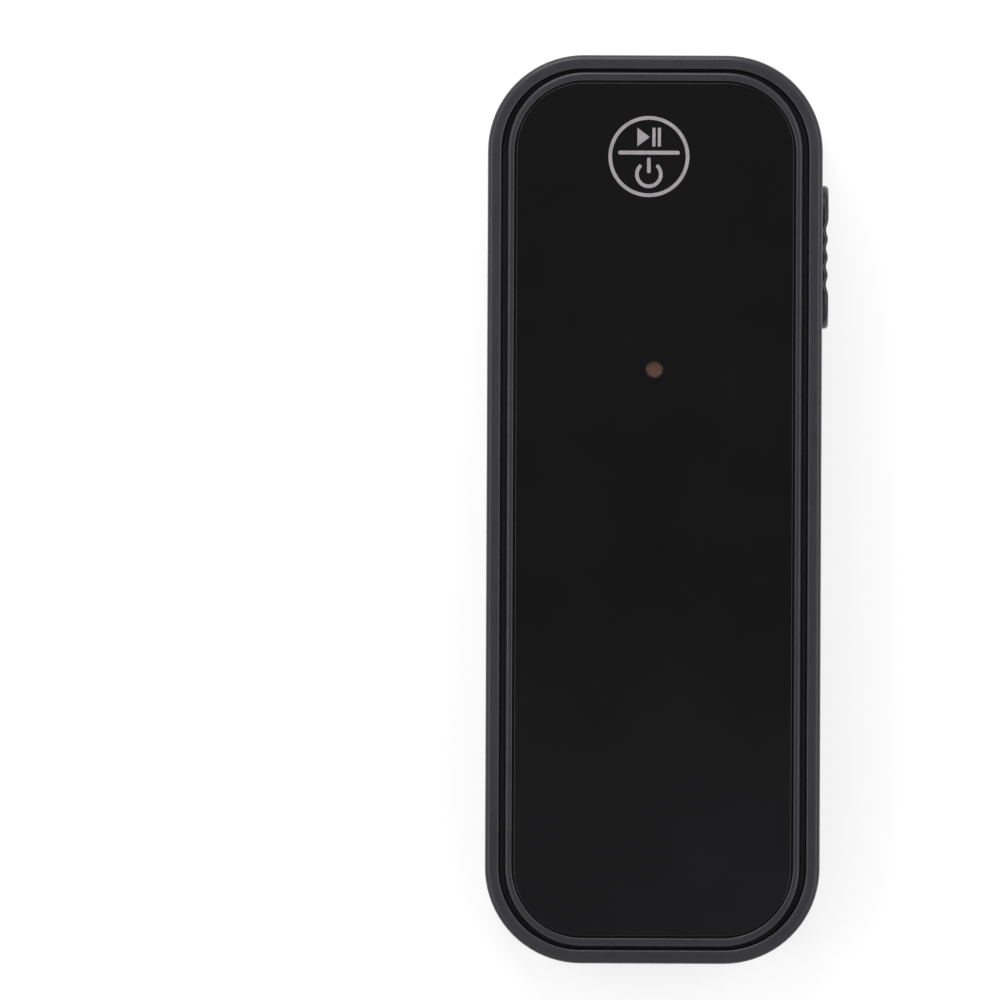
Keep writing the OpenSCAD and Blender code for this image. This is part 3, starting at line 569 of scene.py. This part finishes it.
key = slab("volume_key", (lip_x, key_y - key_size.y / 2, port_z - key_size.z / 2),
           (key_face_x, key_y + key_size.y / 2, port_z + key_size.z / 2),
           0.98 * key_size.z / 2, axis=0, segments=18)
open_piece(key)
for y in [*groove_places, *ridge_places]:
    bpy.ops.mesh.select_all(action="SELECT")
    bpy.ops.mesh.bisect(plane_co=(0, y, 0), plane_no=(0, 1, 0))


def across(places, level):
    """A test for the edges that run over the key's outer face at some places along it"""
    def test(edge):
        at_place = any(abs(edge.verts[0].co.y - y) < TINY for y in places)
        return along(2)(edge) and at_place and at_level(0, level)(edge)
    return test


def face_rim(edge):
    """True for the edges between the key's outer face and its sides"""
    turned = sorted(abs(f.normal.x) for f in edge.link_faces)
    return len(turned) == 2 and turned[0] < 0.1 and turned[1] > 0.5 and edge.verts[0].co.x > key_face_x - 0.5 * MM


pick(key, "EDGE", across(groove_places, key_face_x))
bpy.ops.transform.translate(value=(-groove_depth, 0, 0))
valley = across(groove_places, key_face_x - groove_depth)
ridge = across(ridge_places, key_face_x)
print("waves:", pick(key, "EDGE", lambda e: valley(e) or ridge(e)))
bpy.ops.mesh.bevel(offset=0.26 * MM, segments=5, affect="EDGES", profile=0.5)
let_go()
print("key's outer edge:", round_edges(key, 0.3 * MM, 4, face_rim))

inner = [
    slab("key_lip", (lip_x, key_low.y, port_z - key_size.z / 2),
         (lip_x + lip_t, key_high.y, port_z + key_size.z / 2), 0.98 * key_size.z / 2, axis=0),
    rod("key_hub", 0.95 * MM, (pivot.x, pivot.y, port_z - key_size.z / 2),
        (pivot.x, pivot.y, port_z + key_size.z / 2), 48),
    rod("key_pins", 0.6 * MM, (pivot.x, pivot.y, key_low.z), (pivot.x, pivot.y, key_high.z), 48),
]
stem_low, stem_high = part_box("switch_stem_up")
stem_z = (stem_low.z + stem_high.z) / 2
for side in (-1, 1):
    spot = Vector((lip_x, key_y + side * 3.9 * MM, stem_z))
    inner.append(rod("press_rib", 0.6 * MM, spot - Vector((0, 0, 0.8 * MM)), spot + Vector((0, 0, 0.8 * MM)), 32))
join(key, inner)
smooth(key)
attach(key, "volume_key")
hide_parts("volume_rocker")

# %% [markdown]
# ## Sockets
# The jack's ferrule and the USB shell are both tubes: a rod and a pill-shaped bar whose two
# end faces are inset and bridged. Their mouths are rolled, so each gets a rounding almost as
# large as its sheet allows.

# %% Model the ferrule and the USB shell
def hollow(piece, wall, axis):
    """Opens a bar right through, leaving a wall"""
    open_piece(piece)
    pick(piece, "FACE", lambda f: abs(f.normal[axis]) > 0.99)
    bpy.ops.mesh.inset(thickness=wall, use_even_offset=True)
    bpy.ops.mesh.bridge_edge_loops()
    let_go()


bore_r = 1.8 * MM
ferrule = rod("jack_ferrule_ring", ferrule_r, (0, ferrule_low.y, port_z), (0, ferrule_high.y, port_z))
hollow(ferrule, ferrule_r - bore_r, 1)
round_edges(ferrule, 0.25 * MM, 4, at_level(1, ferrule_high.y))
flange = rod("ferrule_flange", 3 * MM, (0, ferrule_low.y, port_z), (0, ferrule_low.y + 0.4 * MM, port_z))
hollow(flange, 3 * MM - ferrule_r + TINY, 1)
join(ferrule, [flange])
smooth(ferrule)
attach(ferrule, "case")
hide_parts("jack_ferrule")

usb_half = usb_size / 2
usb = slab("usb_socket_shell", (-usb_half.x, usb_low.y, port_z - usb_half.z),
           (usb_half.x, usb_high.y, port_z + usb_half.z), 0.96 * usb_half.z, axis=1, segments=12)
hollow(usb, 0.3 * MM, 1)
round_edges(usb, 0.13 * MM, 3, at_level(1, usb_low.y))
tabs = []
for side in (-1, 1):
    for i in (1, 3):
        middle = Vector((side * (usb_half.x + 0.35 * MM), usb_high.y - i * 1.4 * MM, port_z + 0.15 * MM))
        reach = Vector((0.5 * MM, 0.7 * MM, 0.15 * MM))
        tabs.append(slab("usb_tab", middle - reach, middle + reach, 0.12 * MM, axis=0, segments=2))
join(usb, tabs)
smooth(usb)
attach(usb, "case")
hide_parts("usb_shell")

# %% [markdown]
# ## Finishes
# Every finish is built from nodes on Object coordinates, so it stays on its piece when the
# piece moves. One helper makes the base: a slow drift of the colour, a finer drift of the
# roughness, and a bump whose grain has the size of the real surface. Each finish then only
# states its numbers.

# %% The base of every finish
def noise(tree, scale, detail=3.0, stretch=None):
    """A noise on Object coordinates, with its features scale times to the metre"""
    place = tree.nodes.new("ShaderNodeTexCoord")
    texture = tree.nodes.new("ShaderNodeTexNoise")
    texture.inputs["Scale"].default_value = scale
    texture.inputs["Detail"].default_value = detail
    if stretch:
        mapping = tree.nodes.new("ShaderNodeMapping")
        mapping.inputs["Scale"].default_value = stretch
        tree.links.new(place.outputs["Object"], mapping.inputs["Vector"])
        tree.links.new(mapping.outputs["Vector"], texture.inputs["Vector"])
    else:
        tree.links.new(place.outputs["Object"], texture.inputs["Vector"])
    return texture.outputs["Fac"]


def spread(tree, fac, low, high):
    """Turns a noise into values from low to high"""
    ramp = tree.nodes.new("ShaderNodeMapRange")
    ramp.inputs["From Min"].default_value = 0.3
    ramp.inputs["From Max"].default_value = 0.7
    ramp.inputs["To Min"].default_value = low
    ramp.inputs["To Max"].default_value = high
    tree.links.new(fac, ramp.inputs["Value"])
    return ramp.outputs["Result"]


def value(tree, operation, first, second):
    """One step of arithmetic on sockets or plain numbers"""
    node = tree.nodes.new("ShaderNodeMath")
    node.operation = operation
    for socket, given in zip(node.inputs, (first, second)):
        if isinstance(given, (int, float)):
            socket.default_value = given
        else:
            tree.links.new(given, socket)
    return node.outputs["Value"]


def blend(tree, factor, first, second):
    """A mix of two colours, each a socket or three numbers"""
    node = tree.nodes.new("ShaderNodeMix")
    node.data_type = "RGBA"
    tree.links.new(factor, node.inputs["Factor"])
    for socket, given in ((node.inputs["A"], first), (node.inputs["B"], second)):
        if isinstance(given, tuple):
            socket.default_value = (*[min(1, c) for c in given], 1)
        else:
            tree.links.new(given, socket)
    return node.outputs["Result"]


def rub_and_highlight_mask(tree):
    """Where edges are painted lighter, partly as wear where hands rub and partly as a painted highlight: the tight
    edges marked on the piece and any sharp corner, broken up by a noise
    """
    marks = tree.nodes.new("ShaderNodeAttribute")
    marks.attribute_name = "wear_and_highlight"
    rounded = tree.nodes.new("ShaderNodeBevel")
    rounded.samples = 4
    rounded.inputs["Radius"].default_value = 0.05 * MM
    true = tree.nodes.new("ShaderNodeNewGeometry")
    match = tree.nodes.new("ShaderNodeVectorMath")
    match.operation = "DOT_PRODUCT"
    tree.links.new(rounded.outputs["Normal"], match.inputs[0])
    tree.links.new(true.outputs["Normal"], match.inputs[1])
    sharp = value(tree, "MULTIPLY", value(tree, "SUBTRACT", 1.0, match.outputs["Value"]), 3.0)
    edges = value(tree, "MINIMUM", value(tree, "MAXIMUM", marks.outputs["Fac"], sharp), 1.0)
    return value(tree, "MULTIPLY", edges, spread(tree, noise(tree, 1100, 4), 0.15, 0.9))


def finish(name, colour, drift, rough, grain=0.0, grain_scale=4000, metal=0.0, stretch=None, specular=0.5,
           wear_and_highlight=1.5):
    """A finish: colour with its drift, roughness, a grain in millimetres, and how much lighter its edges are painted,
    partly as wear and partly as a painted highlight
    """
    material = bpy.data.materials.new(name)
    material.use_nodes = True
    tree = material.node_tree
    shader = tree.nodes["Principled BSDF"]
    shader.inputs["Metallic"].default_value = metal
    shader.inputs["Specular IOR Level"].default_value = specular
    # The edge colour is lighter than the body: partly wear, partly a painted highlight along the rounded edges
    dark, pale, edge_highlight_colour = [tuple(c * k for c in colour) for k in (1 - drift, 1 + drift, wear_and_highlight)]
    tint = blend(tree, spread(tree, noise(tree, 120, 4), 0, 1), dark, pale)
    edges = rub_and_highlight_mask(tree)
    tree.links.new(blend(tree, edges, tint, edge_highlight_colour), shader.inputs["Base Color"])
    roughness = spread(tree, noise(tree, 700, 3, stretch), *rough)
    smoother = value(tree, "MULTIPLY", edges, -0.2 * rough[0])
    tree.links.new(value(tree, "ADD", roughness, smoother), shader.inputs["Roughness"])
    if grain:
        bump = tree.nodes.new("ShaderNodeBump")
        bump.inputs["Distance"].default_value = grain * MM
        bump.inputs["Strength"].default_value = 1.0
        tree.links.new(noise(tree, grain_scale, 2, stretch), bump.inputs["Height"])
        tree.links.new(bump.outputs["Normal"], shader.inputs["Normal"])
    return material


def dust(material, spacing, size, colour):
    """Lays single grains of dust on a finish, each near the middle of its own cell"""
    tree = material.node_tree
    shader = tree.nodes["Principled BSDF"]
    place = tree.nodes.new("ShaderNodeTexCoord")
    cells = tree.nodes.new("ShaderNodeTexVoronoi")
    cells.inputs["Scale"].default_value = 1 / spacing
    tree.links.new(place.outputs["Object"], cells.inputs["Vector"])
    grain = value(tree, "LESS_THAN", cells.outputs["Distance"], size / spacing)
    chance = tree.nodes.new("ShaderNodeSeparateColor")
    tree.links.new(cells.outputs["Color"], chance.inputs["Color"])
    shown = value(tree, "MULTIPLY", grain, value(tree, "GREATER_THAN", chance.outputs["Red"], 0.45))
    clean = shader.inputs["Base Color"].links[0].from_socket
    tree.links.new(blend(tree, shown, clean, colour), shader.inputs["Base Color"])


def paint_reflection(material, unlit_y, reflection_y, colour):
    """Paints a reflection into a gloss finish: its colour grows lighter little by little along Y, in patches"""
    tree = material.node_tree
    shader = tree.nodes["Principled BSDF"]
    place = tree.nodes.new("ShaderNodeTexCoord")
    split = tree.nodes.new("ShaderNodeSeparateXYZ")
    tree.links.new(place.outputs["Object"], split.inputs["Vector"])
    along_y = tree.nodes.new("ShaderNodeMapRange")
    along_y.interpolation_type = "SMOOTHSTEP"
    along_y.inputs["From Min"].default_value = unlit_y
    along_y.inputs["From Max"].default_value = reflection_y
    tree.links.new(split.outputs["Y"], along_y.inputs["Value"])
    patchy_reflection = value(tree, "MULTIPLY", along_y.outputs["Result"], spread(tree, noise(tree, 60, 2), 0.5, 1.0))
    clean = shader.inputs["Base Color"].links[0].from_socket
    tree.links.new(blend(tree, patchy_reflection, clean, colour), shader.inputs["Base Color"])


def wear(*pieces):
    """Gives each piece its finish, by the name of its slot"""
    for piece, material in pieces:
        piece.data.materials.clear()
        piece.data.materials.append(material)


# %% [markdown]
# ## Moulded plastics
# The shell and the cover come from sparked moulds: a fine, even grain that turns a highlight
# into a soft band. The key is the same plastic, a little smoother where fingers rub it.

# %% Plastic finishes
shell_plastic = finish("moulded_shell", (0.033, 0.0318, 0.0385), 0.06, (0.26, 0.36), grain=0.003,
                       grain_scale=6500, specular=0.35)
cover_plastic = finish("moulded_cover", (0.03, 0.0288, 0.0345), 0.06, (0.26, 0.34), grain=0.002,
                       grain_scale=7500, specular=0.4)
key_plastic = finish("moulded_key", (0.03, 0.0292, 0.034), 0.08, (0.26, 0.36), grain=0.003,
                     grain_scale=7000, specular=0.4)
black_plastic = finish("black_housing", (0.018, 0.018, 0.019), 0.08, (0.4, 0.55), grain=0.004)
ivory_plastic = finish("ivory_stem", (0.7, 0.66, 0.58), 0.05, (0.35, 0.45), grain=0.003)
ink_paint = finish("screen_print", (0.245, 0.225, 0.238), 0.06, (0.45, 0.6), grain=0.002, grain_scale=9000)
# The panel's edges are painted three times lighter: a painted highlight on its polished edge and the hole's rim
panel_gloss = finish("gloss_panel", (0.0032, 0.0026, 0.0028), 0.25, (0.03, 0.06), wear_and_highlight=3)
# Painted reflection: the panel's colour grows lighter towards its USB end
paint_reflection(panel_gloss, -6 * MM, -33 * MM, (0.0085, 0.0074, 0.009))
dust(shell_plastic, 2.6 * MM, 0.035 * MM, (0.2, 0.2, 0.21))
dust(cover_plastic, 2.2 * MM, 0.03 * MM, (0.2, 0.2, 0.21))
dust(panel_gloss, 3.2 * MM, 0.03 * MM, (0.05, 0.05, 0.055))

wear((shell, shell_plastic), (cover, cover_plastic), (key, key_plastic), (ink, ink_paint), (panel, panel_gloss))

# %% [markdown]
# ## Metals, boards and the rest
# The pieces inside are finished too, because a shell may be taken off: drawn steel with its
# grain along the sheet, gold and bronze contacts, green solder mask, foil round the cell.

# %% The other finishes, by slot
steel = finish("drawn_steel", (0.6, 0.6, 0.58), 0.06, (0.22, 0.36), grain=0.002, grain_scale=900, metal=1.0, stretch=(1, 12, 1))
nickel = finish("nickel_plate", (0.66, 0.64, 0.6), 0.05, (0.12, 0.22), grain=0.001, metal=1.0)
gold = finish("gold_plate", (0.83, 0.6, 0.26), 0.08, (0.18, 0.3), metal=1.0)
bronze = finish("spring_bronze", (0.68, 0.46, 0.24), 0.08, (0.25, 0.4), metal=1.0)
copper = finish("copper_foil", (0.72, 0.36, 0.2), 0.1, (0.25, 0.45), grain=0.004, metal=1.0)
foil = finish("cell_foil", (0.56, 0.57, 0.59), 0.05, (0.3, 0.45), grain=0.02, grain_scale=900, metal=1.0)
mask = finish("solder_mask", (0.012, 0.11, 0.05), 0.15, (0.22, 0.34), grain=0.003)
epoxy = finish("chip_epoxy", (0.016, 0.016, 0.017), 0.1, (0.55, 0.7), grain=0.005)
white_ceramic = finish("white_ceramic", (0.7, 0.67, 0.6), 0.05, (0.5, 0.65), grain=0.003)
tan_ceramic = finish("tan_ceramic", (0.42, 0.28, 0.16), 0.1, (0.5, 0.65), grain=0.003)
ferrite = finish("ferrite", (0.09, 0.09, 0.095), 0.1, (0.5, 0.65), grain=0.006)
lens = finish("led_lens", (0.8, 0.8, 0.7), 0.03, (0.1, 0.2))
rubber = finish("boot_rubber", (0.018, 0.018, 0.018), 0.1, (0.65, 0.8), grain=0.008)
paper = finish("tape_paper", (0.75, 0.73, 0.66), 0.05, (0.7, 0.85), grain=0.01)
glue = finish("black_glue", (0.012, 0.012, 0.012), 0.1, (0.5, 0.7), grain=0.005)
red_sleeve = finish("red_sleeve", (0.42, 0.02, 0.015), 0.08, (0.35, 0.5), grain=0.004)
black_sleeve = finish("black_sleeve", (0.015, 0.015, 0.015), 0.08, (0.35, 0.5), grain=0.004)

by_slot = {
    "shell_black": shell_plastic, "cover_black": cover_plastic, "panel_black": panel_gloss,
    "key_black": key_plastic, "print_grey": ink_paint, "adhesive_black": glue, "switch_black": black_plastic,
    "stem_ivory": ivory_plastic, "sheet_steel": steel, "spring_bronze": bronze,
    "ferrule_nickel": nickel, "gold_contact": gold, "board_green": mask, "chip_black": epoxy,
    "ceramic_white": white_ceramic, "ceramic_tan": tan_ceramic, "ferrite_grey": ferrite,
    "led_clear": lens, "copper_foil": copper, "boot_rubber": rubber, "cell_pouch": foil,
    "tape_white": paper, "lead_red": red_sleeve, "lead_black": black_sleeve,
}
wear((ferrule, nickel), (usb, steel))

# %% [markdown]
# ## Microphone mesh
# Behind the panel's hole lies a woven brown mesh. Its threads are a tenth of a millimetre
# apart, so they are two crossed waves that shape both the bump and the colour.

# %% Weave the mesh
def woven(name, thread, gap, pitch):
    """Threads that cross at right angles, with dark gaps between them"""
    material = finish(name, thread, 0.15, (0.4, 0.6))
    tree = material.node_tree
    shader = tree.nodes["Principled BSDF"]
    place = tree.nodes.new("ShaderNodeTexCoord")
    threads = []
    for direction in ("X", "Y"):
        wave = tree.nodes.new("ShaderNodeTexWave")
        wave.bands_direction = direction
        wave.inputs["Scale"].default_value = 0.314 / pitch
        tree.links.new(place.outputs["Object"], wave.inputs["Vector"])
        threads.append(wave.outputs["Fac"])
    top = tree.nodes.new("ShaderNodeMath")
    top.operation = "MAXIMUM"
    tree.links.new(threads[0], top.inputs[0])
    tree.links.new(threads[1], top.inputs[1])
    shade = tree.nodes.new("ShaderNodeMix")
    shade.data_type = "RGBA"
    shade.inputs["A"].default_value = (*gap, 1)
    tree.links.new(top.outputs["Value"], shade.inputs["Factor"])
    old = shader.inputs["Base Color"].links[0].from_socket
    tree.links.new(old, shade.inputs["B"])
    tree.links.new(shade.outputs["Result"], shader.inputs["Base Color"])
    bump = tree.nodes.new("ShaderNodeBump")
    bump.inputs["Distance"].default_value = 0.03 * MM
    tree.links.new(top.outputs["Value"], bump.inputs["Height"])
    tree.links.new(bump.outputs["Normal"], shader.inputs["Normal"])
    return material


by_slot["mesh_brown"] = woven("woven_mesh", (0.55, 0.29, 0.2), (0.12, 0.055, 0.035), 0.12 * MM)

replaced = {"back_shell", "front_cover", "front_panel", "volume_rocker", "jack_ferrule", "usb_shell"}
slots = {part["node"]: part["material_slot"] for part in frame["record"]["subparts"]}
for node, piece in frame["nodes"].items():
    wear((piece, by_slot[slots[node]]))
print("finishes:", len(by_slot), "on", len(frame["nodes"]), "nodes")

# %% [markdown]
# ## Floor, light and camera
# The receiver lies on a white table under plain studio light: one wide lamp beyond the jack's end and a softer one on
# each side. The room straight above is dim, as it is under a camera, so the gloss panel stays black instead of
# mirroring a ceiling.

# %% Floor and world
let_go()
bpy.ops.mesh.primitive_plane_add(size=6, location=(0, 0, 0))
table = bpy.context.object
table.name = "table"
table_top = bpy.data.materials.new("table_top")
table_top.use_nodes = True
tree = table_top.node_tree
paper_white = tree.nodes["Principled BSDF"]
paper_white.inputs["Base Color"].default_value = (0.5, 0.5, 0.5, 1)
paper_white.inputs["Roughness"].default_value = 0.9
paper_white.inputs["Specular IOR Level"].default_value = 0.0
glow = tree.nodes.new("ShaderNodeEmission")
glow.inputs["Color"].default_value = (1, 1, 1, 1)
glow.inputs["Strength"].default_value = 0.65
both = tree.nodes.new("ShaderNodeAddShader")
rays = tree.nodes.new("ShaderNodeLightPath")
seen = None
for kind in ("Is Camera Ray", "Is Glossy Ray", "Is Transmission Ray"):
    if seen is None:
        seen = rays.outputs[kind]
        continue
    either = tree.nodes.new("ShaderNodeMath")
    either.operation = "MAXIMUM"
    tree.links.new(seen, either.inputs[0])
    tree.links.new(rays.outputs[kind], either.inputs[1])
    seen = either.outputs["Value"]
mix = tree.nodes.new("ShaderNodeMixShader")
tree.links.new(paper_white.outputs["BSDF"], both.inputs[0])
tree.links.new(glow.outputs["Emission"], both.inputs[1])
tree.links.new(seen, mix.inputs["Fac"])
tree.links.new(paper_white.outputs["BSDF"], mix.inputs[1])
tree.links.new(both.outputs["Shader"], mix.inputs[2])
tree.links.new(mix.outputs["Shader"], tree.nodes["Material Output"].inputs["Surface"])
table.data.materials.append(table_top)

world = bpy.data.worlds.new("studio")
bpy.context.scene.world = world
world.use_nodes = True
tree = world.node_tree
sky = tree.nodes["Background"]
sky.inputs["Color"].default_value = (1, 1, 1, 1)
direction = tree.nodes.new("ShaderNodeTexCoord")
split = tree.nodes.new("ShaderNodeSeparateXYZ")


def step_up(low, high, start, end):
    """A smooth change of the light's strength between two heights of the sky"""
    ramp = tree.nodes.new("ShaderNodeMapRange")
    ramp.interpolation_type = "SMOOTHSTEP"
    ramp.inputs["From Min"].default_value = low
    ramp.inputs["From Max"].default_value = high
    ramp.inputs["To Min"].default_value = start
    ramp.inputs["To Max"].default_value = end
    tree.links.new(split.outputs["Z"], ramp.inputs["Value"])
    return ramp.outputs["Result"]


tree.links.new(direction.outputs["Generated"], split.inputs["Vector"])
ring = value(tree, "MULTIPLY", step_up(0.1, 0.45, 0.25, 1.0), step_up(0.86, 0.98, 0.62, 0.16))
tree.links.new(ring, sky.inputs["Strength"])

# %% Lamps
def lamp(name, place, size, power):
    """A square lamp that points at the middle of the case"""
    light = bpy.data.lights.new(name, "AREA")
    light.shape = "SQUARE"
    light.size = size
    light.energy = power
    holder = bpy.data.objects.new(name, light)
    bpy.context.collection.objects.link(holder)
    holder.location = place
    holder.rotation_euler = (-Vector(place)).to_track_quat("-Z", "Y").to_euler()
    holder.visible_camera = False
    return holder


lamp("key_lamp", (-0.05, 0.22, 0.15), 0.17, 0.34)
lamp("left_lamp", (-0.7, 0.05, 0.75), 0.8, 2.6)
lamp("right_lamp", (0.7, 0.05, 0.75), 0.8, 2.6)

# %% Camera
lens_mm = 900
frame_width = 77.04 * MM
lean = math.radians(0.5)
camera_data = bpy.data.cameras.new("camera")
camera_data.lens = lens_mm
camera_data.sensor_width = 36
camera_data.clip_end = 20
camera = bpy.data.objects.new("camera", camera_data)
bpy.context.collection.objects.link(camera)
distance = frame_width * lens_mm / camera_data.sensor_width
camera.location = (-11.93 * MM, 0.69 * MM + distance * math.sin(lean), case_high.z + distance * math.cos(lean))
camera.rotation_euler = (-lean, 0, math.radians(0.25))
bpy.context.scene.camera = camera
bpy.context.scene.view_settings.view_transform = "Standard"
print("camera stands", round(distance, 3), "m above the rim")
